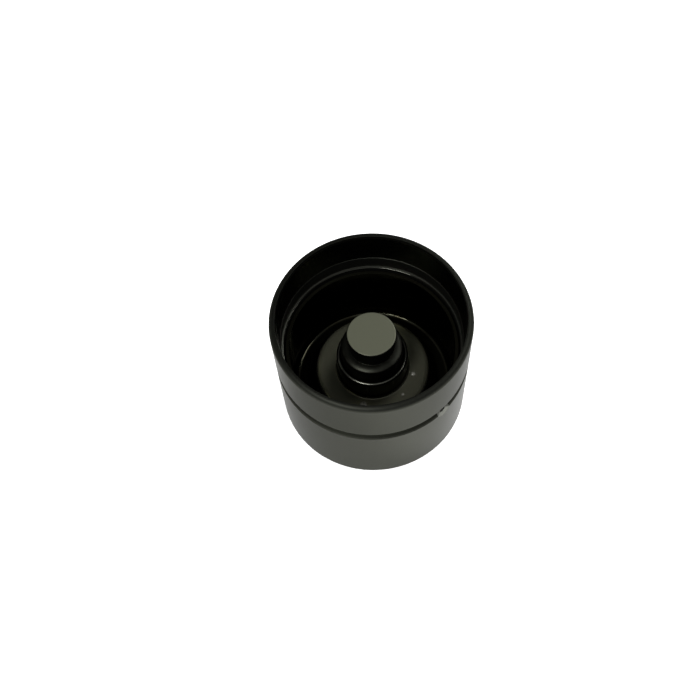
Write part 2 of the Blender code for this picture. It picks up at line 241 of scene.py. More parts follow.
class LifterHousing(bpy.types.PropertyGroup):
    """Sizes of the inner housing and its retaining ring"""

    wall: length("Wall", "Wall of the sliding cup", 0.0011)
    end_thickness: length("End thickness", "From the closed end's inside to the pad", 0.0053)
    pad_height: length("Pad height", "From the shoulder to the stem pad", 0.0038)
    pad_round: length("Pad round", "Round of the stem pad's edge", 0.0003)
    pad_edge: length("Pad edge", "Height of the pad's straight side with its round", 0.0009)
    shoulder_width: length("Shoulder width", "How far the shoulder stands out round the pad", 0.0011)
    shoulder_flat: length("Shoulder flat", "From the neck out to where the shoulder starts to fall", 0.00055)
    shoulder_crown: length("Shoulder crown", "Round of the shoulder's crowned face", 0.002)
    shoulder_fall: length("Shoulder fall", "How far the shoulder falls towards its edge", 0.0004)
    shoulder_round: length("Shoulder round", "Round of the shoulder's edge", 0.0005)
    neck_depth: length("Neck depth", "How far the neck is cut in below the pad", 0.0003)
    end_round: length("End round", "Fillet inside the closed end", 0.0005)
    foot_chamfer: length("Foot chamfer", "Chamfer of the open end", 0.0002)
    groove_depth: length("Ring groove depth", "Depth of the retaining ring's groove", 0.0004)
    groove_room: length("Ring groove room", "Room above and below the ring's wire", 0.0002)
    edge_break: length("Edge break", "Round of edges that look sharp", 0.00006)
    ring_wire: length("Ring wire", "Thickness of the retaining ring's wire", RING_HIGH.z - RING_LOW.z)
    ring_opening: angle("Ring opening", "Gap between the ring's ends, at the back", 28)


class LifterWorks(bpy.types.PropertyGroup):
    """Sizes of the piston, the check ball, its cage and the springs"""

    piston_wall: length("Piston wall", "Wall round the oil reservoir", 0.0011)
    piston_head: length("Piston head", "Thickness of the piston's head", 0.0016)
    piston_chamfer: length("Piston chamfer", "Chamfer of the piston's edges", 0.0002)
    seat_hole: length("Seat hole", "Diameter of the oil hole under the ball", 0.0022)
    seat_depth: length("Seat depth", "Depth of the ball's conical seat", 0.0006)
    slot_width: length("Foot slot width", "Width of the oil slot across the piston's foot", 0.0012)
    slot_height: length("Foot slot height", "Height of the oil slot across the piston's foot", 0.0007)
    cage_sheet: length("Cage sheet", "Thickness of the ball cage", 0.0004)
    cage_radius: length("Cage radius", "Outside radius of the cage's wall", BALL_HIGH.x + 0.0008)
    cage_corner: length("Cage corner", "Inside fillets of the ball cage", 0.0003)
    cage_windows: IntProperty(
        name="Cage windows", description="Oil windows in the cage's wall", default=3, min=1, max=6
    )
    window_width: length("Window width", "Width of an oil window", 0.0012)
    window_height: length("Window height", "Height of an oil window", 0.0014)
    edge_break: length("Edge break", "Round of edges that look sharp", 0.00004)
    ball_wire: length("Ball spring wire", "Wire of the ball's spring", 0.00025)
    ball_turns: plain_number("Ball spring turns", "Turns of the ball's spring", 2.5, least=1)
    return_wire: length("Return spring wire", "Wire of the return spring", 0.0006)
    return_turns: plain_number("Return spring turns", "Turns of the return spring", 4.5, least=1)
    end_closing: share("End closing", "How far a spring's end turns are drawn together", 0.25)


class LifterFinish(bpy.types.PropertyGroup):
    """Colours and gloss of the oiled steel"""

    bucket: colour("Bucket", "Case hardened and ground, dark with oil", (0.070, 0.072, 0.060))
    bucket_stain: colour("Bucket stain", "Where the oil on the bucket lies thicker", (0.062, 0.064, 0.052))
    # Brighter round the oil hole: steel cut after hardening, and a painted highlight for the light that the
    # hole catches
    countersink: colour("Countersink", "Cut after hardening, so brighter", (0.128, 0.131, 0.116))
    tray: colour("Tray", "Drawn sheet", (0.058, 0.060, 0.043))
    # Lighter colour of the raised web: its film of oil, and painted light on the web, over the darker rest of
    # the tray
    web: colour("Web", "Thin oil that lies on the tray's raised web", (0.098, 0.099, 0.070))
    tray_stain: colour("Tray stain", "Where the oil on the tray lies thicker", (0.030, 0.028, 0.018))
    housing: colour("Housing", "Hardened body of the inner housing", (0.024, 0.025, 0.020))
    pad: colour("Pad", "Ground face of the stem pad", (0.099, 0.103, 0.073))
    piston: colour("Piston", "Ground piston", (0.24, 0.24, 0.21))
    ball: colour("Ball", "Polished bearing ball", (0.55, 0.55, 0.54))
    cage: colour("Cage", "Pressed cage", (0.20, 0.20, 0.17))
    spring: colour("Spring", "Drawn spring wire", (0.16, 0.16, 0.14))
    flank: share("Flank", "Gloss seen along the surface, of that of clean steel", 0.48)
    oil_haze: share("Oil haze", "How metallic the bucket looks under its thin haze of oil", 0.94)
    lip: colour("Lip", "The mouth's lip", (0.022, 0.023, 0.019))
    groove: colour("Groove", "The oil groove's floor", (0.02, 0.021, 0.016))
    # Near black: painted shade on the floor of the deep moat
    moat: colour("Moat", "The moat's floor, black with oil", (0.006, 0.006, 0.004))
    housing_stain: colour("Housing stain", "Where the housing's oil lies thicker", (0.017, 0.0175, 0.014))
    # Pale colour of the oil drops: painted glints where they catch the light
    oil: colour("Oil", "The drops of engine oil, pale with air", (0.16, 0.16, 0.135))
    # Painted highlight: a brighter colour on the round edge below the relief, so that its line of light shows
    # stronger
    shoulder_edge_highlight: colour("Shoulder edge", "The round edge below the relief", (0.11, 0.112, 0.095))
    # Darkened: painted shade on the relieved band inside the skirt, over its rough finish
    relief: colour("Relief", "The relieved band inside the skirt", (0.028, 0.029, 0.024))
    # Darkened: painted shade on the tray's cut rim, deep inside the bucket, with a rough finish
    rim: colour("Rim", "The tray's cut rim", (0.012, 0.012, 0.008))
    # Painted highlight: a brighter colour on the sleeve's lip, so that its ring of light shows stronger
    sleeve_lip_highlight: colour("Sleeve lip", "The sleeve's drawn lip", (0.12, 0.122, 0.103))
    web_metal: share("Web metal", "How metallic the web looks under its oil", 0.66)
    pad_metal: share("Pad metal", "How metallic the ground pad looks", 0.5)
    bucket_roughness: share("Bucket roughness", "Gloss of the bucket's inside", 0.18)
    skirt_roughness: share("Skirt roughness", "Gloss of the ground skirt", 0.32)
    tray_roughness: share("Tray roughness", "Gloss of the drawn sheet", 0.14)
    oil_roughness: share("Oil roughness", "Gloss of the oil drops", 0.15)
    edge_roughness: share("Edge roughness", "Gloss of the round edge below the relief", 0.095)
    lip_roughness: share("Lip roughness", "Gloss of the mouth's lip and the oil groove's floor", 0.5)
    relief_roughness: share("Relief roughness", "Gloss of the relieved band inside the skirt", 0.55)
    sleeve_lip_roughness: share("Sleeve lip roughness", "Gloss of the sleeve's lip", 0.24)
    rim_roughness: share("Rim roughness", "Gloss of the tray's cut rim and the moat's floor", 0.7)
    web_roughness: share("Web roughness", "Gloss of the web", 0.30)
    housing_roughness: share("Housing roughness", "Gloss of the inner housing's body", 0.40)
    pad_roughness: share("Pad roughness", "Gloss of the ground pad", 0.42)
    ball_roughness: share("Ball roughness", "Gloss of the polished ball", 0.12)
    works_roughness: share("Works roughness", "Gloss of the pieces inside", 0.28)
    line_spacing: length("Line spacing", "Distance between the finest turning lines", 0.00016)
    blotch_size: length("Blotch size", "Size of the patches of thicker oil", 0.0045)


class LifterStudio(bpy.types.PropertyGroup):
    """Camera, floor and lights"""

    elevation: angle("Camera elevation", "Angle of the camera above the floor", 62.733)
    distance: length("Camera distance", "From the camera to the point it circles", 0.161958)
    target_height: length("Target height", "Height of the point that the camera circles", 0.013)
    pan: angle("Pan", "Turn of the camera to its side", 1.339)
    tilt: angle("Tilt", "Turn of the camera up", 0.293)
    roll: angle("Roll", "Turn of the camera round its view", -2.110)
    focal: plain_number("Focal length", "Lens, in millimetres", 48.44, least=1)
    floor_size: length("Floor size", "Side of the floor", 4)
    floor_colour: colour("Floor colour", "Paint of the floor", (0.86, 0.86, 0.86))
    floor_lift: share("Floor lift", "Light that the floor adds where it is seen, for a white ground", 0.58)
    ambient: share("Ambient", "Light of the room", 0.28)
    horizon: share("Horizon", "Brightness of the room's walls in the metal", 0.50)
    overhead: share("Overhead", "Brightness of the room's ceiling in the metal", 0.07)
    screen: share("Screen", "Brightness of the wide screen above the camera in the metal", 0.34)
    screen_elevation: angle("Screen elevation", "How high the middle of the screen stands", 60)
    screen_reach: angle("Screen reach", "From the screen's middle to its faded edge", 42)
    front_azimuth: angle("Front light azimuth", "Where the front light stands", -33)
    front_elevation: angle("Front light elevation", "How high the front light stands", 52)
    front_size: length("Front light size", "Side of the square front light", 0.17)
    side_azimuth: angle("Side light azimuth", "Where the side light stands", 100)
    side_elevation: angle("Side light elevation", "How high the side light stands", 46)
    side_size: length("Side light size", "Side of the square side light", 0.12)
    back_azimuth: angle("Back light azimuth", "Where the back light stands", 139.5)
    back_elevation: angle("Back light elevation", "How high the back light stands", 40)
    back_size: length("Back light size", "Side of the square back light", 0.12)
    fill_azimuth: angle("Fill light azimuth", "Where the fill light stands", 140)
    fill_elevation: angle("Fill light elevation", "How high the fill light stands", 50)
    fill_size: length("Fill light size", "Side of the square fill light, which gloss doesn't show", 0.21)
    front_level: plain_number("Front level", "Radiance of the front light", 18)
    side_level: plain_number("Side level", "Radiance of the side light", 8)
    back_level: plain_number("Back level", "Radiance of the back light", 10)
    fill_level: plain_number("Fill level", "Radiance of the fill light", 18)
    light_distance: length("Light distance", "From the lights to the lifter", 0.5)


class LifterSettings(bpy.types.PropertyGroup):
    """Everything that the lifter and its studio are made from"""

    bucket: PointerProperty(type=LifterBucket)
    tray: PointerProperty(type=LifterTray)
    housing: PointerProperty(type=LifterHousing)
    works: PointerProperty(type=LifterWorks)
    finish: PointerProperty(type=LifterFinish)
    studio: PointerProperty(type=LifterStudio)


def outline(corners, closed=False):
    """Points and normals of a turned section through corners (radius, height, fillet).

    The line's direction turns at a steady rate along each fillet, an arc tangent to both sides. Two fillets
    that meet on a side share it out. The normal is the direction turned a quarter to its left, so it is
    continuous throughout.
    """
    line = np.asarray(corners, float)
    corner, fillet = line[:, :2], line[:, 2:]
    into = corner - np.roll(corner, 1, axis=0)
    out = np.roll(corner, -1, axis=0) - corner
    if not closed:
        into[0], out[-1] = out[0], into[-1]
    into_length = np.linalg.norm(into, axis=1, keepdims=True)
    out_length = np.linalg.norm(out, axis=1, keepdims=True)
    into, out = into / into_length, out / out_length
    heading = np.arctan2(into[:, 1:], into[:, :1])
    cross = into[:, :1] * out[:, 1:] - into[:, 1:] * out[:, :1]
    turn = np.arctan2(cross, (into * out).sum(axis=1, keepdims=True))
    half_turn = np.maximum(np.tan(np.abs(turn) / 2), LEAST_TURN)
    wanted = np.maximum(fillet, 0) * half_turn
    taken = (wanted + np.roll(wanted, -1, axis=0)) / (SIDE_IN_ARCS * out_length)
    reach = wanted / np.maximum(1, np.maximum(taken, np.roll(taken, 1, axis=0)))
    way = heading + turn * np.linspace(0, 1, ARC_STEPS + 1)
    normals = np.stack([-np.sin(way), np.cos(way)], axis=2)
    bend = (np.sign(turn) * reach / half_turn)[:, :, None]
    start = (corner - into * reach)[:, None, :]
    points = start - bend * (normals - normals[:, :1, :])
    return points.reshape(-1, 2), normals.reshape(-1, 2)


def left_of(corners, distance):
    """The same corners moved to the left of their line by this distance: mitred, with matching fillets."""
    line = np.asarray(corners, float)
    step = np.diff(line[:, :2], axis=0)
    step /= np.linalg.norm(step, axis=1, keepdims=True)
    into, out = np.vstack([step[:1], step]), np.vstack([step, step[-1:]])
    left = np.stack([-(into[:, 1] + out[:, 1]), into[:, 0] + out[:, 0]], axis=1)
    mitre = left / (1 + (into * out).sum(axis=1, keepdims=True))
    turn = into[:, 0] * out[:, 1] - into[:, 1] * out[:, 0]
    fillet = line[:, 2] - np.sign(turn) * distance
    return np.column_stack([line[:, :2] + mitre * distance, fillet])


def round_z(radius, azimuth, height):
    """Points at these distances from Z, azimuths and heights: (r sin a, -r cos a, z)."""
    across = radius * np.sin(azimuth)
    return np.stack(np.broadcast_arrays(across, -radius * np.cos(azimuth), height), axis=-1)


def spun(points, normals, azimuths):
    """A section of points (radius, height) and its normals, swept round Z."""
    places, facing = (round_z(part[:, :1], azimuths, part[:, 1:]) for part in (points, normals))
    return places, facing


def cells_of(rows, columns, first=0, closed_rows=False, closed_columns=True):
    """Corner numbers of the quads between a grid's points, counted from first."""
    number = first + np.arange(rows * columns).reshape(rows, columns)
    after = np.roll(number, -1, axis=0)
    cells = np.stack([number, np.roll(number, -1, axis=1), np.roll(after, -1, axis=1), after], axis=2)
    return cells[: rows if closed_rows else rows - 1, : columns if closed_columns else columns - 1]


def solid_mesh(name, places, cells, facing=None, crease=None):
    """A closed mesh with outward faces. Points that meet become one, and quads that shrink to a line go.

    It is shaded with the exact normals in facing, or else smooth, with edges sharper than crease kept sharp.
    """
    keys = np.round(places.reshape(-1, 3) / WELD).astype(np.int64)
    _, chosen, number = np.unique(keys, axis=0, return_index=True, return_inverse=True)
    cells = number.reshape(-1)[cells.reshape(-1, 4)]
    distinct = cells != np.roll(cells, 1, axis=1)
    sides = distinct.sum(axis=1)
    quads = cells[sides == 4]
    triangles = cells[sides == 3][distinct[sides == 3]].reshape(-1, 3)
    ends = [np.stack([part, np.roll(part, 1, axis=1)], axis=2).reshape(-1, 2) for part in (quads, triangles)]
    low, high = np.sort(np.concatenate(ends), axis=1).T
    _, uses = np.unique(low * len(chosen) + high, return_counts=True)
    if np.any(uses != 2):
        raise ValueError(f"{name} is not a closed surface")
    mesh = bpy.data.meshes.new(name)
    mesh.from_pydata(places.reshape(-1, 3)[chosen].tolist(), [], quads.tolist() + triangles.tolist())
    shape = bmesh.new()
    shape.from_mesh(mesh)
    bmesh.ops.recalc_face_normals(shape, faces=shape.faces)
    shape.to_mesh(mesh)
    shape.free()
    mesh.shade_smooth()
    if crease is None:
        mesh.normals_split_custom_set_from_vertices(facing.reshape(-1, 3)[chosen].tolist())
    else:
        mesh.set_sharp_from_angle(angle=crease)
    return mesh


def turned_mesh(name, corners, closed=False):
    """A turned piece: the outline through the corners, swept round Z."""
    places, facing = spun(*outline(corners, closed), np.linspace(0, 2 * np.pi, TURN_STEPS, endpoint=False))
    return solid_mesh(name, places, cells_of(*places.shape[:2], closed_rows=closed), facing)


def wire_mesh(name, path, thickness, turns):
    """A round wire: a circle across each point of the path, which shrinks over a small round to a flat end.

    The path gives its points from shares between 0 and 1. One side of the circle points away from Z, and the
    other is the cross product of the path's direction and that side.
    """
    half = thickness / 2
    edge = WIRE_END_ROUND * half
    bend = np.linspace(0, np.pi / 2, ARC_STEPS)
    shares = np.linspace(0, 1, round(turns * WIRE_STEPS_PER_TURN))
    reach = np.linalg.norm(np.diff(path(shares), axis=0), axis=1).sum()
    inset = np.append(0, edge * (1 - np.cos(bend))) / reach
    width = np.append(0, half - edge * (1 - np.sin(bend)))
    lean = np.append(0, bend)
    middle = shares[(shares > inset[-1]) & (shares < 1 - inset[-1])]
    along = np.concatenate([inset, middle, 1 - inset[::-1]])
    width = np.concatenate([width, np.full(len(middle), half), width[::-1]])[:, None, None]
    lean = np.concatenate([lean, np.full(len(middle), np.pi / 2), np.pi - lean[::-1]])[:, None, None]
    centre, nudge = path(along), 1e-4
    forward = path(along + nudge) - path(along - nudge)
    forward /= np.linalg.norm(forward, axis=1, keepdims=True)
    outward = centre * (1, 1, 0)
    outward /= np.linalg.norm(outward, axis=1, keepdims=True)
    third = np.cross(forward, outward)
    round_angle = np.linspace(0, 2 * np.pi, WIRE_SIDES, endpoint=False)[None, :, None]
    spoke = np.cos(round_angle) * outward[:, None, :] + np.sin(round_angle) * third[:, None, :]
    places = centre[:, None, :] + width * spoke
    facing = np.sin(lean) * spoke - np.cos(lean) * forward[:, None, :]
    return solid_mesh(name, places, cells_of(*places.shape[:2]), facing)


def coil(radius, low, high, wire, turns, closing):
    """Path of a spring between two heights: a helix that rises slowly at both ends and closes there."""
    foot, rise = low + wire / 2, high - low - wire

    def path(shares):
        turned = 2 * np.pi * turns * shares
        slowed = shares - closing * np.sin(2 * np.pi * shares) / (2 * np.pi)
        return np.column_stack([radius * np.cos(turned), radius * np.sin(turned), foot + rise * slowed])

    return path


def field_rim(columns, rows):
    """The rim of a field of grid lines, once round: the column and the row value of each point."""
    wide, tall = len(columns) - 1, len(rows) - 1
    across = [columns[:-1], np.full(tall, columns[-1]), columns[:0:-1], np.full(tall, columns[0])]
    down = [np.full(wide, rows[0]), rows[:-1], np.full(wide, rows[-1]), rows[:0:-1]]
    return np.concatenate(across), np.concatenate(down)


def bucket_mesh(sizes):
    """The cup, with its oil groove and its countersunk feed hole.

    The section is swept round Z. In a field round the hole the grid is left out, outside and in. There, a
    second grid runs from the outer field's rim in to the hole's circle, through the wall and out to the
    inner field's rim. Its points outside lie on the groove's radius or on the countersink's cone, whichever
    is deeper.
    """
    radius, height, edge = sizes.diameter / 2, sizes.height, sizes.edge_break
    skirt, step, mouth = radius - sizes.skirt_wall, radius - sizes.step_wall, radius - sizes.mouth_wall
    relief, relief_top = step + sizes.relief_depth, height - sizes.step_depth
    shoulder = relief_top - sizes.relief_height
    drop, field = sizes.hole_drop, sizes.hole_field
    centre = height - sizes.groove_below_lip - drop
    half, depth = sizes.groove_width / 2, sizes.groove_depth
    hole, sink = sizes.hole_diameter / 2, sizes.hole_sink / 2
    fall = sizes.hole_sink_depth / (sink - hole)
    groove_line, _ = outline(
        [
            (radius, -field, 0),
            (radius, drop - half, edge),
            (radius - depth, drop + depth - half, sizes.groove_round),
            (radius - depth, drop + half - depth, sizes.groove_round),
            (radius, drop + half, edge),
            (radius, field, 0),
        ]
    )

    def face(azimuth, rise):
        """Radius of the skirt: the groove's line, or the cone's where that lies deeper, softly joined."""
        plain = np.interp(rise, groove_line[:, 1], groove_line[:, 0])
        cone = radius - fall * (sink - np.hypot(plain * np.sin(azimuth), rise))
        near_both = np.maximum(edge - np.abs(plain - cone), 0)
        return np.minimum(plain, cone) - near_both**2 / (4 * edge)

    def face_normals(azimuth, rise, turned_to):
        """Normals of that skirt, from its slopes over a small step each way."""
        nudge = 2e-5
        along = (face(azimuth + nudge / radius, rise) - face(azimuth - nudge / radius, rise)) / (2 * nudge)
        upward = (face(azimuth, rise + nudge) - face(azimuth, rise - nudge)) / (2 * nudge)
        sine, cosine = np.sin(turned_to + azimuth), np.cos(turned_to + azimuth)
        normals = np.stack([sine - along * cosine, -cosine - along * sine, -upward], axis=-1)
        return normals / np.linalg.norm(normals, axis=-1, keepdims=True)

    rows = np.linspace(-field, field, HOLE_ROWS)
    wide = field / radius
    near = np.linspace(-wide, wide, HOLE_COLUMNS)
    far = np.linspace(wide, 2 * np.pi - wide, TURN_STEPS)[1:-1]
    azimuths = np.append(near, far)
    inner = outline(
        [(0, sizes.crown, 0), (skirt, sizes.crown, sizes.crown_fillet), (skirt, centre - field, 0)]
    )
    inner_field = (
        np.column_stack([np.full(HOLE_ROWS, skirt), centre + rows]),
        np.tile((-1.0, 0.0), (HOLE_ROWS, 1)),
    )
    mouth_part = outline(
        [
            (skirt, centre + field, 0),
            (skirt, shoulder, sizes.shoulder_round),
            (relief, shoulder + sizes.relief_depth, edge),
            (relief, relief_top - sizes.relief_depth, edge),
            (step, relief_top, sizes.ledge_break),
            (step + sizes.ledge_width, relief_top + sizes.ledge_rise, sizes.ledge_break),
            (mouth, height, sizes.lip_inner_round),
            (radius, height, sizes.lip_outer_round),
            (radius, centre + field, 0),
        ]
    )
    beside = np.pi / 2
    outer_field = (
        np.column_stack([face(beside, rows[::-1]), centre + rows[::-1]]),
        face_normals(beside, rows[::-1], 0)[:, [0, 2]],
    )
    foot = outline([(radius, centre - field, 0), (radius, 0, sizes.cam_edge_round), (0, 0, 0)])
    parts = [inner, inner_field, mouth_part, outer_field, foot]
    starts = np.cumsum([0] + [len(points) for points, _ in parts])
    section, section_normals = (np.concatenate(rows_of) for rows_of in zip(*parts))
    places, facing = spun(section, section_normals, azimuths + sizes.hole_azimuth)
    kept = np.ones((len(section) - 1, len(azimuths)), bool)
    kept[starts[1] : starts[2] - 1, : len(near) - 1] = False
    kept[starts[3] : starts[4] - 1, : len(near) - 1] = False
    cells = cells_of(*places.shape[:2])[kept]

    rim_azimuth, rim_rise = field_rim(near, rows)
    inward = np.linspace(0, 1, HOLE_RINGS)[:, None]
    round_angle = np.arctan2(rim_rise, rim_azimuth * radius)
    across, up = np.cos(round_angle), np.sin(round_angle)
    floor = radius - depth
    outer_azimuth = rim_azimuth + inward * (np.arcsin((hole + edge) * across / floor) - rim_azimuth)
    outer_rise = rim_rise + inward * ((hole + edge) * up - rim_rise)
    outer_radius = face(outer_azimuth, outer_rise)
    bore_radius = outer_radius[-1] - edge + inward * (skirt + 2 * edge - outer_radius[-1])
    bore_azimuth = np.arcsin(hole * across / bore_radius)
    back_azimuth = rim_azimuth + inward[::-1] * (np.arcsin((hole + edge) * across / skirt) - rim_azimuth)
    back_rise = rim_rise + inward[::-1] * ((hole + edge) * up - rim_rise)
    hole_azimuth = sizes.hole_azimuth + np.vstack([outer_azimuth, bore_azimuth, back_azimuth])
    hole_radius = np.vstack([outer_radius, bore_radius, np.full_like(back_rise, skirt)])
    hole_rise = np.vstack([outer_rise, hole * up + 0 * bore_radius, back_rise])
    hole_places = round_z(hole_radius, hole_azimuth, centre + hole_rise)
    sideways = np.array([math.cos(sizes.hole_azimuth), math.sin(sizes.hole_azimuth), 0])
    bore_normals = -(across[:, None] * sideways + up[:, None] * (0, 0, 1)) + 0 * bore_radius[:, :, None]
    back_normals = round_z(-1, sizes.hole_azimuth + back_azimuth, 0)
    hole_facing = np.concatenate(
        [face_normals(outer_azimuth, outer_rise, sizes.hole_azimuth), bore_normals, back_normals]
    )
    hole_cells = cells_of(*hole_rise.shape, first=places.shape[0] * places.shape[1])
    return solid_mesh(
        "bucket_steel",
        np.concatenate([places.reshape(-1, 3), hole_places.reshape(-1, 3)]),
        np.concatenate([cells.reshape(-1, 4), hole_cells.reshape(-1, 4)]),
        np.concatenate([facing.reshape(-1, 3), hole_facing.reshape(-1, 3)]),
    )


def tray_mesh(sizes):
    """The drawn tray: one sheet, from its rim down to the moat, up to the web and up into the sleeve."""
    bore = TRAY_HIGH.x - sizes.sheet
    moat = TRAY_LOW.z + sizes.sheet
    slope_foot = bore - sizes.moat_width
    web = moat + sizes.web_rise
    face = [
        (bore, TRAY_HIGH.z, sizes.edge_break),
        (bore, moat, sizes.moat_corner),
        (slope_foot, moat, sizes.slope_foot_round),
        (slope_foot - sizes.slope_run, web, sizes.web_edge_round),
        (sizes.sleeve_radius, web, sizes.sleeve_foot_round),
        (sizes.sleeve_radius, web + sizes.sleeve_height, sizes.lip_round),
    ]
    back = left_of(face, sizes.sheet)
    back[[0, -1], 2] = sizes.edge_break, sizes.lip_break
    return turned_mesh("guide_tray_steel", np.vstack([back, face[::-1]]), closed=True)


def housing_mesh(sizes):
    """The sliding cup: stem pad, neck, crowned shoulder, the ring's groove and an open foot."""
    radius, top, foot = HOUSING_HIGH.x, HOUSING_HIGH.z, HOUSING_LOW.z
    pad = radius - sizes.shoulder_width
    neck = pad - sizes.neck_depth
    shoulder, pad_edge = top - sizes.pad_height, top - sizes.pad_edge
    bore, ceiling = radius - sizes.wall, top - sizes.end_thickness
    groove = (RING_LOW.z + RING_HIGH.z) / 2
    half = sizes.ring_wire / 2 + sizes.groove_room
    chamfer, edge = sizes.foot_chamfer, sizes.edge_break
    corners = [
        (0, top, 0),
        (pad, top, sizes.pad_round),
        (pad, pad_edge, edge),
        (neck, pad_edge - sizes.neck_depth, edge),
        (neck, shoulder, edge),
        (neck + sizes.shoulder_flat, shoulder, sizes.shoulder_crown),
        (radius, shoulder - sizes.shoulder_fall, sizes.shoulder_round),
        (radius, groove + half, edge),
        (radius - sizes.groove_depth, groove + half, edge),
        (radius - sizes.groove_depth, groove - half, edge),
        (radius, groove - half, edge),
        (radius, foot + chamfer, edge),
        (radius - chamfer, foot, edge),
        (bore + chamfer, foot, edge),
        (bore, foot + chamfer, edge),
        (bore, ceiling, sizes.end_round),
        (0, ceiling, 0),
    ]
    return turned_mesh("inner_housing_steel", corners)


def ring_mesh(sizes):
    """The split ring: one turn of wire round the housing, open at the back."""
    radius = RING_HIGH.x - sizes.ring_wire / 2
    height = (RING_LOW.z + RING_HIGH.z) / 2
    half = math.pi - sizes.ring_opening / 2

    def path(shares):
        turned = -math.pi / 2 + half * (2 * shares - 1)
        return np.column_stack([radius * np.cos(turned), radius * np.sin(turned), height + 0 * turned])

    return wire_mesh("retaining_ring_wire", path, sizes.ring_wire, half / math.pi)


def piston_mesh(sizes):
    """The piston: a turned sleeve with a head, the ball's seat, and a straight oil slot across its open foot.

    Near the slot the columns run along its straight sides instead of meeting at the axis, and there the
    foot's points are lifted to the slot's ceiling.
    """
    radius, top, foot = PISTON_HIGH.x, PISTON_HIGH.z, PISTON_LOW.z
    reservoir, reservoir_top = radius - sizes.piston_wall, top - sizes.piston_head
    hole, seat_foot = sizes.seat_hole / 2, top - sizes.seat_depth
    chamfer, edge = sizes.piston_chamfer, sizes.edge_break
    ceiling = foot + sizes.slot_height
    corners = [
        (radius - chamfer, top, edge),
        (radius, top - chamfer, edge),
        (radius, ceiling, 0),
        (radius, foot + chamfer, edge),
        (radius - chamfer, foot, edge),
        (reservoir, foot, edge),
        (reservoir, ceiling, 0),
        (reservoir, reservoir_top, chamfer),
        (hole, reservoir_top, edge),
        (hole, seat_foot, edge),
        (hole + sizes.seat_depth, top, edge),
    ]
    points, _ = outline(corners, closed=True)
    half = sizes.slot_width / 2
    slot = np.linspace(-half, half, SLOT_COLUMNS)
    slot_azimuths = np.arcsin(slot / np.maximum(points[:, :1], reservoir))
    last = slot_azimuths[:, -1:]
    side = last + (np.pi - 2 * last) * np.linspace(0, 1, SLOT_SIDE_COLUMNS)
    azimuths = np.hstack([slot_azimuths, side, slot_azimuths + np.pi, side + np.pi]) + np.pi / 2
    in_slot = np.concatenate([np.full(SLOT_COLUMNS, True), np.full(SLOT_SIDE_COLUMNS, False)] * 2)
    height = np.where(in_slot, np.maximum(points[:, 1:], ceiling), points[:, 1:])
    places = round_z(points[:, :1], azimuths, height)
    return solid_mesh("piston_steel", places, cells_of(*places.shape[:2], closed_rows=True), crease=CREASE)


def ball_mesh():
    """The ball: a sphere, as rows of equal height angle round Z."""
    centre = (BALL_LOW + BALL_HIGH) / 2
    radius = (BALL_HIGH.z - BALL_LOW.z) / 2
    polar = np.linspace(0, np.pi, BALL_ROWS)
    normals = np.column_stack([np.sin(polar), np.cos(polar)])
    points = normals * radius + (0, centre.z)
    places, facing = spun(points, normals, np.linspace(0, 2 * np.pi, 2 * BALL_ROWS, endpoint=False))
    return solid_mesh("check_ball_steel", places, cells_of(*places.shape[:2]), facing)


def cage_mesh(sizes):
    """The pressed cap over the ball, with straight-sided oil windows.

    Near a window the columns run parallel to its sides. The cells of the window are left out on both faces of
    the wall, and a strip of quads joins the two rims that this leaves.
    """
    top, foot, outer = CAGE_HIGH.z, CAGE_LOW.z, sizes.cage_radius
    sheet, corner, edge = sizes.cage_sheet, sizes.cage_corner, sizes.edge_break
    flange, inner = foot + sheet, outer - sheet
    window_low = (flange + top - sheet - sizes.window_height) / 2
    window_high = window_low + sizes.window_height
    levels = np.linspace(window_high, window_low, WINDOW_LINES)
    parts = [
        outline([(0, top, 0), (outer, top, corner + sheet), (outer, window_high, 0)])[0][: -ARC_STEPS - 1],
        np.column_stack([np.full(WINDOW_LINES, outer), levels]),
        outline(
            [
                (outer, window_low, 0),
                (outer, flange, corner),
                (CAGE_HIGH.x, flange, edge),
                (CAGE_HIGH.x, foot, edge),
                (inner, foot, corner),
                (inner, window_low, 0),
            ]
        )[0],
        np.column_stack([np.full(WINDOW_LINES, inner), levels[::-1]]),
        outline([(inner, window_high, 0), (inner, top - sheet, corner), (0, top - sheet, 0)])[0],
    ]
    starts = np.cumsum([0] + [len(part) for part in parts])
    section = np.concatenate(parts)
    part_turn = 2 * np.pi / sizes.cage_windows
    window = np.linspace(-sizes.window_width / 2, sizes.window_width / 2, WINDOW_LINES)
    window_azimuths = np.arcsin(window / np.maximum(section[:, :1], inner))
    last = window_azimuths[:, -1:]
    between = last + (part_turn - 2 * last) * np.linspace(0, 1, BETWEEN_WINDOWS)[1:-1]
    one_part = np.hstack([window_azimuths, between])
    azimuths = np.hstack([one_part + part_turn * number for number in range(sizes.cage_windows)]) + np.pi / 2
    places = round_z(section[:, :1], azimuths, section[:, 1:])
    kept = np.ones((len(section) - 1, azimuths.shape[1]), bool)
    in_window = np.arange(azimuths.shape[1]) % one_part.shape[1] < len(window) - 1
    kept[starts[1] : starts[2] - 1, in_window] = False
    kept[starts[3] : starts[4] - 1, in_window] = False
    number = np.arange(places.shape[0] * places.shape[1]).reshape(places.shape[:2])
    cells = [cells_of(*places.shape[:2])[kept].reshape(-1, 4)]
    for first_column in range(0, azimuths.shape[1], one_part.shape[1]):
        columns = np.arange(first_column, first_column + len(window))
        outside = number[field_rim(columns, np.arange(starts[1], starts[2]))[::-1]]
        inside = number[field_rim(columns, np.arange(starts[4] - 1, starts[3] - 1, -1))[::-1]]
        cells.append(np.column_stack([outside, np.roll(outside, -1), np.roll(inside, -1), inside]))
    return solid_mesh("ball_cage_sheet", places, np.concatenate(cells), crease=CREASE)


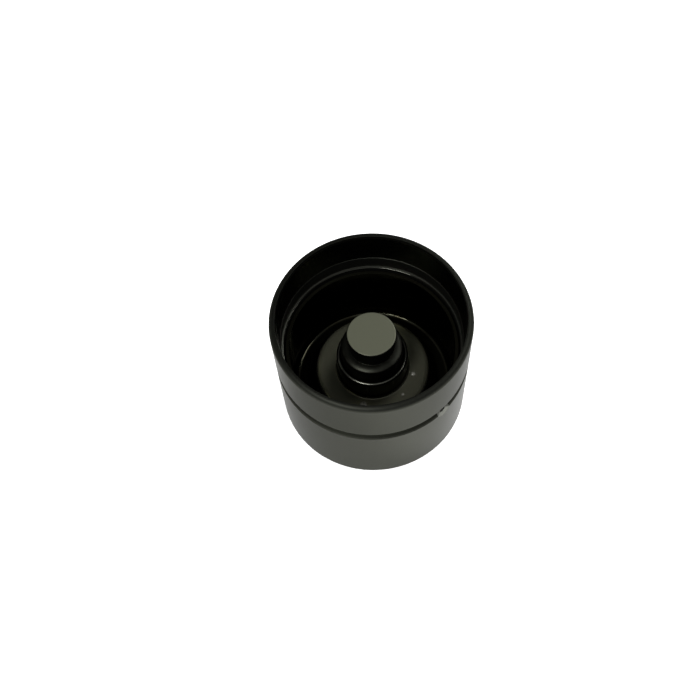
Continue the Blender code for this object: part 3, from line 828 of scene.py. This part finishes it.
def add_node(tree, kind, inputs=(), **settings):
    """A shader node with these settings, its inputs set to values or linked to other nodes' outputs."""
    node = tree.nodes.new(kind)
    for name, value in settings.items():
        setattr(node, name, value)
    for name, value in dict(inputs).items():
        if isinstance(value, bpy.types.NodeSocket):
            tree.links.new(value, node.inputs[name])
        else:
            node.inputs[name].default_value = value
    return node.outputs


def maths(tree, operation, *values):
    """A sum, a product or the like of numbers."""
    return add_node(tree, "ShaderNodeMath", enumerate(values), operation=operation)["Value"]


def vector_maths(tree, operation, *values, **inputs):
    """A sum, a length or the like of vectors: the node's outputs."""
    return add_node(tree, "ShaderNodeVectorMath", {**dict(enumerate(values)), **inputs}, operation=operation)


def ramp(tree, value, low, high, start=0.0, end=1.0, **settings):
    """The number from start to end that a value between low and high stands for."""
    inputs = {"Value": value, "From Min": low, "From Max": high, "To Min": start, "To Max": end}
    return add_node(tree, "ShaderNodeMapRange", inputs, **settings)["Result"]


def mixed(tree, part, first, second):
    """The number that has this part of the second number in the first."""
    return add_node(tree, "ShaderNodeMix", {0: part, 2: first, 3: second})[0]


def mixed_colour(tree, part, first, second):
    """The colour that has this part of the second colour in the first."""
    return add_node(tree, "ShaderNodeMix", {0: part, 6: first, 7: second}, data_type="RGBA")[2]


def noise(tree, place, scale, detail, roughness=0.5):
    """Soft noise over a place."""
    inputs = {"Vector": place, "Scale": scale, "Detail": detail, "Roughness": roughness}
    return add_node(tree, "ShaderNodeTexNoise", inputs)["Fac"]


def new_material(name):
    """A material with nodes: the material, its node tree and its Principled shader."""
    material = bpy.data.materials.new(name)
    material.use_nodes = True
    return material, material.node_tree, material.node_tree.nodes["Principled BSDF"]


def drops_mesh(height):
    """Oil drops that lie on this height: flattened balls, half of each above it.

    A drop's point is (x + r cos p cos q, y + r cos p sin q, z + k r sin p), with p from pole to pole and q
    all the way round.
    """
    pole = np.linspace(-np.pi / 2, np.pi / 2, DROP_STEPS)[:, None]
    around = np.linspace(0, 2 * np.pi, DROP_STEPS, endpoint=False)
    drop = np.array(OIL_DROPS)[:, :, None, None]
    level = np.ones_like(around)
    places = np.stack(
        [
            drop[:, 0] + drop[:, 2] * np.cos(pole) * np.cos(around),
            drop[:, 1] + drop[:, 2] * np.cos(pole) * np.sin(around),
            height + DROP_RISE * drop[:, 2] * np.sin(pole) * level,
        ],
        axis=3,
    )
    corners = DROP_STEPS * DROP_STEPS
    cells = np.stack([cells_of(DROP_STEPS, DROP_STEPS, index * corners) for index in range(len(OIL_DROPS))])
    return solid_mesh("oil_drops", places, cells, crease=math.pi)


def oiled_steel(name, finish, main, stain, roughness, line_depth, metallic=1.0, faces=(), hole=None):
    """Dark steel under a thin film of oil, turned round Z.

    Fine turning lines are a noise over the distance from Z and the height, drawn out round the axis. Wide
    soft blotches of thicker oil change the colour and the gloss. Each of faces is (colour, metallic,
    roughness, from height, to height, from radius, to radius): a face with another finish, which sets in
    over these heights between these radii. The colours of some faces are painted shade or painted
    highlight. hole gives (colour, middle, radius) of a brighter patch round the countersink: steel cut after
    hardening, with a painted highlight for the light that the hole catches.
    """
    material, tree, shader = new_material(name)
    place = add_node(tree, "ShaderNodeTexCoord")["Object"]
    flat = vector_maths(tree, "MULTIPLY", place, (1, 1, 0))["Vector"]
    reach = vector_maths(tree, "LENGTH", flat)["Value"]
    height = add_node(tree, "ShaderNodeSeparateXYZ", {"Vector": place})["Z"]
    across = add_node(tree, "ShaderNodeCombineXYZ", {"X": reach, "Z": height})["Vector"]
    drawn = vector_maths(tree, "SCALE", across, Scale=1 / finish.line_spacing)["Vector"]
    drift = vector_maths(tree, "SCALE", place, Scale=LINE_DRIFT / finish.line_spacing)["Vector"]
    where = vector_maths(tree, "ADD", drawn, drift)["Vector"]
    lines = noise(tree, where, scale=1, detail=2)
    blotch = noise(tree, place, scale=1 / finish.blotch_size, detail=3, roughness=BLOTCH_ROUGHNESS)
    patch = ramp(tree, blotch, *BLOTCH_EDGES, interpolation_type="SMOOTHSTEP")
    tone = mixed_colour(tree, patch, (*main, 1), (*stain, 1))
    gloss = maths(tree, "SUBTRACT", lines, patch)
    low_share, high_share = GLOSS_SHARES
    gloss = ramp(tree, gloss, *GLOSS_EDGES, roughness * low_share, roughness * high_share)
    metal = metallic
    # Faces with their own finish; some of their colours are painted shade or painted highlight
    for face_colour, face_metallic, face_roughness, low, high, inner, outer in faces:
        inside = ramp(tree, reach, inner, inner + FACE_FADE)
        beyond = ramp(tree, reach, outer, outer - FACE_FADE)
        face_finish_and_painted_light = maths(tree, "MULTIPLY", ramp(tree, height, low, high), maths(tree, "MULTIPLY", inside, beyond))
        metal = mixed(tree, face_finish_and_painted_light, metal, face_metallic)
        tone = mixed_colour(tree, face_finish_and_painted_light, tone, (*face_colour, 1))
        gloss = mixed(tree, face_finish_and_painted_light, gloss, face_roughness)
    if faces:
        tree.links.new(metal, shader.inputs["Metallic"])
    else:
        shader.inputs["Metallic"].default_value = metallic
    # The hole's brighter patch: cut steel, and a painted highlight for the light caught in the hole
    if hole:
        hole_colour, middle, radius = hole
        apart = vector_maths(tree, "DISTANCE", place, middle)["Value"]
        tone = mixed_colour(tree, ramp(tree, apart, radius + HOLE_FADE, radius), tone, (*hole_colour, 1))
    bump = {"Height": lines, "Strength": line_depth, "Distance": LINE_BUMP}
    tree.links.new(tone, shader.inputs["Base Color"])
    tree.links.new(gloss, shader.inputs["Roughness"])
    tree.links.new(add_node(tree, "ShaderNodeBump", bump)["Normal"], shader.inputs["Normal"])
    shader.inputs["Specular Tint"].default_value = (finish.flank, finish.flank, finish.flank, 1)
    return material


def wire_steel(name, main, roughness):
    """Drawn wire: a soft mottle in its colour and its gloss."""
    material, tree, shader = new_material(name)
    place = add_node(tree, "ShaderNodeTexCoord")["Object"]
    mottle = noise(tree, place, scale=MOTTLE_SCALE, detail=3)
    darker = tuple(MOTTLE_TONE * part for part in main)
    tone = mixed_colour(tree, mottle, (*main, 1), (*darker, 1))
    low_share, high_share = MOTTLE_SHARES
    gloss = ramp(tree, mottle, 0, 1, roughness * low_share, roughness * high_share)
    tree.links.new(tone, shader.inputs["Base Color"])
    tree.links.new(gloss, shader.inputs["Roughness"])
    shader.inputs["Metallic"].default_value = 1
    return material


def stand_in(node, mesh, material, body):
    """Puts a finished mesh in the place of a CAD node, and stops if it doesn't lie where that node lies."""
    mesh.materials.append(material)
    piece = bpy.data.objects.new(mesh.name, mesh)
    bpy.context.scene.collection.objects.link(piece)
    low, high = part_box(node)
    corners = np.empty(3 * len(mesh.vertices))
    mesh.vertices.foreach_get("co", corners)
    corners = corners.reshape(-1, 3)
    away = max(np.abs(corners.min(axis=0) - low).max(), np.abs(corners.max(axis=0) - high).max())
    if away > PLACE_TOLERANCE:
        raise ValueError(f"{piece.name} lies {away * 1000:.3f} mm away from the node {node}")
    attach(piece, body)
    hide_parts(node)
    return piece


class LIFTER_OT_bucket(bpy.types.Operator):
    """Make the bucket with its oil groove and feed hole"""

    bl_idname = "lifter.bucket"
    bl_label = "Bucket"

    def execute(self, context):
        lifter = context.scene.lifter
        finish = lifter.finish
        sizes = lifter.bucket
        outside = sizes.diameter / 2
        height = sizes.height - sizes.groove_below_lip - sizes.hole_drop
        middle = (outside * math.sin(sizes.hole_azimuth), -outside * math.cos(sizes.hole_azimuth), height)
        bore = outside - sizes.mouth_wall
        relief_top = sizes.height - sizes.step_depth
        relief_foot = relief_top - sizes.relief_height
        lip_foot = sizes.height - sizes.lip_outer_round
        ledge_top = relief_top + sizes.ledge_rise
        groove_foot = sizes.height - sizes.groove_below_lip - sizes.groove_width / 2
        within, around = bore + FACE_FADE, 2 * outside
        edge_top = relief_foot - EDGE_DROP
        groove_finish = (finish.groove, 1, finish.lip_roughness)
        faces = [
            (finish.bucket, finish.oil_haze, finish.skirt_roughness, -1, 0, bore, around),
            (*groove_finish, groove_foot - TOP_SKIN, groove_foot, bore, outside + GROOVE_MARGIN),
            # The round edge below the relief: painted highlight in a brighter colour
            (finish.shoulder_edge_highlight, 1, finish.edge_roughness, edge_top - FACE_RISE, edge_top, 0, within),
            # The relieved band: painted shade in a dark colour, and a rough finish
            (finish.relief, 1, finish.relief_roughness, relief_foot, relief_foot + FACE_RISE, 0, within),
            (finish.bucket, 1, finish.bucket_roughness, ledge_top - LEDGE_SKIN, ledge_top, 0, within),
            (finish.lip, 1, finish.lip_roughness, lip_foot, lip_foot + LIP_RISE, bore - FACE_FADE, around),
        ]
        steel = oiled_steel(
            "oiled_bucket",
            finish,
            finish.bucket,
            finish.bucket_stain,
            finish.bucket_roughness,
            GROUND_LINES,
            metallic=finish.oil_haze,
            faces=faces,
            # Brighter patch round the oil hole: cut steel, and a painted highlight
            hole=(finish.countersink, middle, sizes.hole_sink / 2),
        )
        stand_in("bucket", bucket_mesh(sizes), steel, "bucket")
        return {"FINISHED"}


class LIFTER_OT_guide_tray(bpy.types.Operator):
    """Make the drawn guide tray"""

    bl_idname = "lifter.guide_tray"
    bl_label = "Guide tray"

    def execute(self, context):
        lifter = context.scene.lifter
        finish = lifter.finish
        sizes = lifter.tray
        moat, top = TRAY_LOW.z + sizes.sheet, TRAY_HIGH.z
        web = moat + sizes.web_rise
        lip_top = web + sizes.sleeve_height
        sleeve, bore = sizes.sleeve_radius, TRAY_HIGH.x - sizes.sheet
        slope_foot = bore - sizes.moat_width
        web_oil_and_light_finish = (finish.web, finish.web_metal, finish.web_roughness)
        rim_shade_finish = (finish.rim, 1, finish.rim_roughness)
        sleeve_highlight_finish = (finish.sleeve_lip_highlight, 1, finish.sleeve_lip_roughness)
        moat_shade_finish = (finish.moat, 1, finish.rim_roughness)
        faces = [
            # The raised web: its oil film, and painted light in a lighter colour
            (*web_oil_and_light_finish, web - WEB_DEPTH, web - FACE_RISE, sleeve, slope_foot),
            # The tray's cut rim: painted shade in a dark colour, and a rough finish
            (*rim_shade_finish, top - TOP_DEPTH, top - TOP_SKIN, slope_foot, 2 * TRAY_HIGH.x),
            # The sleeve's lip: painted highlight in a brighter colour
            (*sleeve_highlight_finish, lip_top - SLEEVE_LIP_DEPTH, lip_top - EDGE_DROP, -FACE_FADE, sleeve + FACE_FADE),
            # The moat's floor: painted shade in a near-black colour
            (*moat_shade_finish, moat + EDGE_DROP, moat + FACE_RISE, 0, bore - MOAT_MARGIN),
        ]
        steel = oiled_steel(
            "oiled_tray",
            finish,
            finish.tray,
            finish.tray_stain,
            finish.tray_roughness,
            DRAWN_LINES,
            faces=faces,
        )
        stand_in("guide_tray", tray_mesh(sizes), steel, "bucket")
        return {"FINISHED"}


class LIFTER_OT_oil_drops(bpy.types.Operator):
    """Make the drops of oil that lie on the guide tray"""

    bl_idname = "lifter.oil_drops"
    bl_label = "Oil drops"

    def execute(self, context):
        lifter = context.scene.lifter
        mesh = drops_mesh(TRAY_LOW.z + lifter.tray.sheet + lifter.tray.web_rise)
        # The drops' pale colour is a painted glint
        oil, _, shader = new_material("engine_oil")
        shader.inputs["Base Color"].default_value = (*lifter.finish.oil, 1)
        shader.inputs["Roughness"].default_value = lifter.finish.oil_roughness
        shader.inputs["Specular IOR Level"].default_value = 1
        mesh.materials.append(oil)
        piece = bpy.data.objects.new("oil_drops", mesh)
        context.scene.collection.objects.link(piece)
        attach(piece, "bucket")
        return {"FINISHED"}


class LIFTER_OT_inner_housing(bpy.types.Operator):
    """Make the sliding inner housing with its ground stem pad"""

    bl_idname = "lifter.inner_housing"
    bl_label = "Inner housing"

    def execute(self, context):
        lifter = context.scene.lifter
        finish, sizes = lifter.finish, lifter.housing
        top, radius = HOUSING_HIGH.z, HOUSING_HIGH.x
        pad_finish = (finish.pad, finish.pad_metal, finish.pad_roughness)
        pad = (*pad_finish, top - TOP_DEPTH, top - TOP_SKIN, -FACE_FADE, radius)
        steel = oiled_steel(
            "oiled_housing",
            finish,
            finish.housing,
            finish.housing_stain,
            finish.housing_roughness,
            GROUND_LINES,
            faces=[pad],
        )
        stand_in("inner_housing", housing_mesh(sizes), steel, "inner_housing")
        return {"FINISHED"}


class LIFTER_OT_retaining_ring(bpy.types.Operator):
    """Make the split ring that keeps the inner housing in the sleeve"""

    bl_idname = "lifter.retaining_ring"
    bl_label = "Retaining ring"

    def execute(self, context):
        lifter = context.scene.lifter
        steel = wire_steel("ring_wire", lifter.finish.spring, lifter.finish.works_roughness)
        stand_in("retaining_ring", ring_mesh(lifter.housing), steel, "inner_housing")
        return {"FINISHED"}


class LIFTER_OT_piston(bpy.types.Operator):
    """Make the piston with its reservoir and the ball's seat"""

    bl_idname = "lifter.piston"
    bl_label = "Piston"

    def execute(self, context):
        lifter = context.scene.lifter
        finish = lifter.finish
        gloss = finish.works_roughness
        steel = oiled_steel("ground_piston", finish, finish.piston, finish.cage, gloss, DRAWN_LINES)
        stand_in("piston", piston_mesh(lifter.works), steel, "bucket")
        return {"FINISHED"}


class LIFTER_OT_check_valve(bpy.types.Operator):
    """Make the check ball and its cage"""

    bl_idname = "lifter.check_valve"
    bl_label = "Check ball and cage"

    def execute(self, context):
        lifter = context.scene.lifter
        finish = lifter.finish
        polished = wire_steel("polished_ball", finish.ball, finish.ball_roughness)
        stand_in("check_ball", ball_mesh(), polished, "check_ball")
        gloss = finish.works_roughness
        pressed = oiled_steel("pressed_cage", finish, finish.cage, finish.spring, gloss, PRESSED_LINES)
        stand_in("ball_cage", cage_mesh(lifter.works), pressed, "bucket")
        return {"FINISHED"}


class LIFTER_OT_springs(bpy.types.Operator):
    """Make the ball's spring and the return spring"""

    bl_idname = "lifter.springs"
    bl_label = "Springs"

    def execute(self, context):
        lifter = context.scene.lifter
        works, finish = lifter.works, lifter.finish
        springs = [
            ("ball_spring", "ball_lift", BALL_SPRING, works.ball_wire, works.ball_turns),
            ("return_spring", "housing_slide", RETURN_SPRING, works.return_wire, works.return_turns),
        ]
        for node, joint, (low, high), wire, turns in springs:
            path = coil(high.x - wire / 2, low.z, high.z, wire, turns, works.end_closing)
            mesh = wire_mesh(f"{node}_coil", path, wire, turns)
            steel = wire_steel(f"{node}_wire", finish.spring, finish.works_roughness)
            spring = stand_in(node, mesh, steel, "bucket")
            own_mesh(spring)
        return {"FINISHED"}


def towards(azimuth, elevation):
    """The direction with this azimuth and elevation."""
    flat = math.cos(elevation)
    return Vector((math.sin(azimuth) * flat, -math.cos(azimuth) * flat, math.sin(elevation)))


class LIFTER_OT_studio(bpy.types.Operator):
    """Set up the pale floor, the soft lights, the room and the camera"""

    bl_idname = "lifter.studio"
    bl_label = "Studio"

    def execute(self, context):
        studio = context.scene.lifter.studio
        self.make_floor(context, studio)
        self.make_room(context, studio)
        for name in ("front", "side", "back", "fill"):
            self.make_light(context, studio, name)
        self.make_camera(context, studio)
        context.scene.view_settings.view_transform = "Standard"
        return {"FINISHED"}

    def make_floor(self, context, studio):
        """A square of white paint. Where the camera or gloss sees it, it adds a little light of its own."""
        reach = studio.floor_size / 2
        corners = [(-reach, -reach, 0), (reach, -reach, 0), (reach, reach, 0), (-reach, reach, 0)]
        mesh = bpy.data.meshes.new("floor")
        mesh.from_pydata(corners, [], [(0, 1, 2, 3)])
        floor = bpy.data.objects.new("floor", mesh)
        context.scene.collection.objects.link(floor)
        material, tree, _ = new_material("white_floor")
        tree.nodes.clear()
        path = add_node(tree, "ShaderNodeLightPath")
        seen = maths(tree, "MAXIMUM", path["Is Camera Ray"], path["Is Glossy Ray"])
        seen = maths(tree, "MAXIMUM", seen, path["Is Transmission Ray"])
        lift = maths(tree, "MULTIPLY", seen, studio.floor_lift)
        paint = add_node(tree, "ShaderNodeBsdfDiffuse", {"Color": (*studio.floor_colour, 1)})["BSDF"]
        glow = add_node(tree, "ShaderNodeEmission", {"Color": (1, 1, 1, 1), "Strength": lift})["Emission"]
        both = add_node(tree, "ShaderNodeAddShader", {0: paint, 1: glow})["Shader"]
        add_node(tree, "ShaderNodeOutputMaterial", {"Surface": both})
        mesh.materials.append(material)

    def make_room(self, context, studio):
        """A room that is white to the camera. Gloss shows pale walls, a dim ceiling and a wide screen."""
        world = bpy.data.worlds.new("room")
        context.scene.world = world
        world.use_nodes = True
        tree = world.node_tree
        tree.nodes.clear()
        path = add_node(tree, "ShaderNodeLightPath")
        direction = add_node(tree, "ShaderNodeTexCoord")["Generated"]
        rise = add_node(tree, "ShaderNodeSeparateXYZ", {"Vector": direction})["Z"]
        walls = ramp(tree, rise, *ROOM_RISE, studio.horizon, studio.overhead)
        middle = towards(0, studio.screen_elevation)
        nearness = vector_maths(tree, "DOT_PRODUCT", direction, middle)["Value"]
        edge, core = math.cos(studio.screen_reach), math.cos(studio.screen_reach * SCREEN_CORE)
        screen = ramp(tree, nearness, edge, core, 0, studio.screen, interpolation_type="SMOOTHSTEP")
        straight = maths(tree, "MAXIMUM", path["Is Camera Ray"], path["Is Transmission Ray"])
        in_gloss = mixed(tree, path["Is Glossy Ray"], studio.ambient, maths(tree, "ADD", walls, screen))
        strength = mixed(tree, straight, in_gloss, 1.0)
        light = {"Color": (1, 1, 1, 1), "Strength": strength}
        back = add_node(tree, "ShaderNodeBackground", light)["Background"]
        add_node(tree, "ShaderNodeOutputWorld", {"Surface": back})

    def make_light(self, context, studio, name):
        """A square soft light that faces the lifter. Its power is its radiance times pi times its area.

        The fill light is left out of the gloss, so that it only softens the shadows.
        """
        parts = ("azimuth", "elevation", "size", "level")
        azimuth, elevation, size, level = (getattr(studio, f"{name}_{part}") for part in parts)
        light = bpy.data.lights.new(f"{name}_light", "AREA")
        light.energy = level * math.pi * size**2
        light.size = size
        lamp = bpy.data.objects.new(f"{name}_light", light)
        lamp.visible_glossy = name != "fill"
        context.scene.collection.objects.link(lamp)
        away = towards(azimuth, elevation)
        turn = away.to_track_quat("Z", "Y").to_matrix().to_4x4()
        place = away * studio.light_distance + Vector((0, 0, studio.target_height))
        lamp.matrix_world = Matrix.Translation(place) @ turn

    def make_camera(self, context, studio):
        """The camera circles its target on the -Y side, then pans, tilts and rolls."""
        data = bpy.data.cameras.new("camera")
        data.lens = studio.focal
        data.clip_start = CLIP_START
        camera = bpy.data.objects.new("camera", data)
        context.scene.collection.objects.link(camera)
        away = towards(0, studio.elevation) * studio.distance
        aim = (
            Matrix.Rotation(math.pi / 2 - studio.elevation, 4, "X")
            @ Matrix.Rotation(studio.pan, 4, "Y")
            @ Matrix.Rotation(studio.tilt, 4, "X")
            @ Matrix.Rotation(studio.roll, 4, "Z")
        )
        camera.matrix_world = Matrix.Translation(away + Vector((0, 0, studio.target_height))) @ aim
        context.scene.camera = camera


class LIFTER_PT_panel(bpy.types.Panel):
    """Sizes, finishes and makers of the lifter, in the 3D view's sidebar"""

    bl_idname = "LIFTER_PT_panel"
    bl_label = "Bucket lifter"
    bl_space_type = "VIEW_3D"
    bl_region_type = "UI"
    bl_category = "Lifter"

    def draw(self, context):
        lifter = context.scene.lifter
        for title, group, operators in (
            ("Bucket", lifter.bucket, (LIFTER_OT_bucket,)),
            ("Guide tray", lifter.tray, (LIFTER_OT_guide_tray, LIFTER_OT_oil_drops)),
            ("Inner housing", lifter.housing, (LIFTER_OT_inner_housing, LIFTER_OT_retaining_ring)),
            ("Works", lifter.works, (LIFTER_OT_piston, LIFTER_OT_check_valve, LIFTER_OT_springs)),
            ("Finish", lifter.finish, ()),
            ("Studio", lifter.studio, (LIFTER_OT_studio,)),
        ):
            box = self.layout.box()
            box.label(text=title)
            for name in group.__annotations__:
                box.prop(group, name)
            for operator in operators:
                box.operator(operator.bl_idname)


CLASSES = (
    LifterBucket,
    LifterTray,
    LifterHousing,
    LifterWorks,
    LifterFinish,
    LifterStudio,
    LifterSettings,
    LIFTER_OT_bucket,
    LIFTER_OT_guide_tray,
    LIFTER_OT_oil_drops,
    LIFTER_OT_inner_housing,
    LIFTER_OT_retaining_ring,
    LIFTER_OT_piston,
    LIFTER_OT_check_valve,
    LIFTER_OT_springs,
    LIFTER_OT_studio,
    LIFTER_PT_panel,
)


def register():
    """Adds the classes, and the settings to every scene."""
    for kind in CLASSES:
        bpy.utils.register_class(kind)
    bpy.types.Scene.lifter = PointerProperty(type=LifterSettings)


def unregister():
    """Takes the settings and the classes away again."""
    del bpy.types.Scene.lifter
    for kind in reversed(CLASSES):
        bpy.utils.unregister_class(kind)


def main():
    """Makes the studio and every piece."""
    register()
    bpy.ops.lifter.studio()
    bpy.ops.lifter.bucket()
    bpy.ops.lifter.guide_tray()
    bpy.ops.lifter.oil_drops()
    bpy.ops.lifter.inner_housing()
    bpy.ops.lifter.retaining_ring()
    bpy.ops.lifter.piston()
    bpy.ops.lifter.check_valve()
    bpy.ops.lifter.springs()
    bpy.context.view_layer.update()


if __name__ == "__main__":
    main()
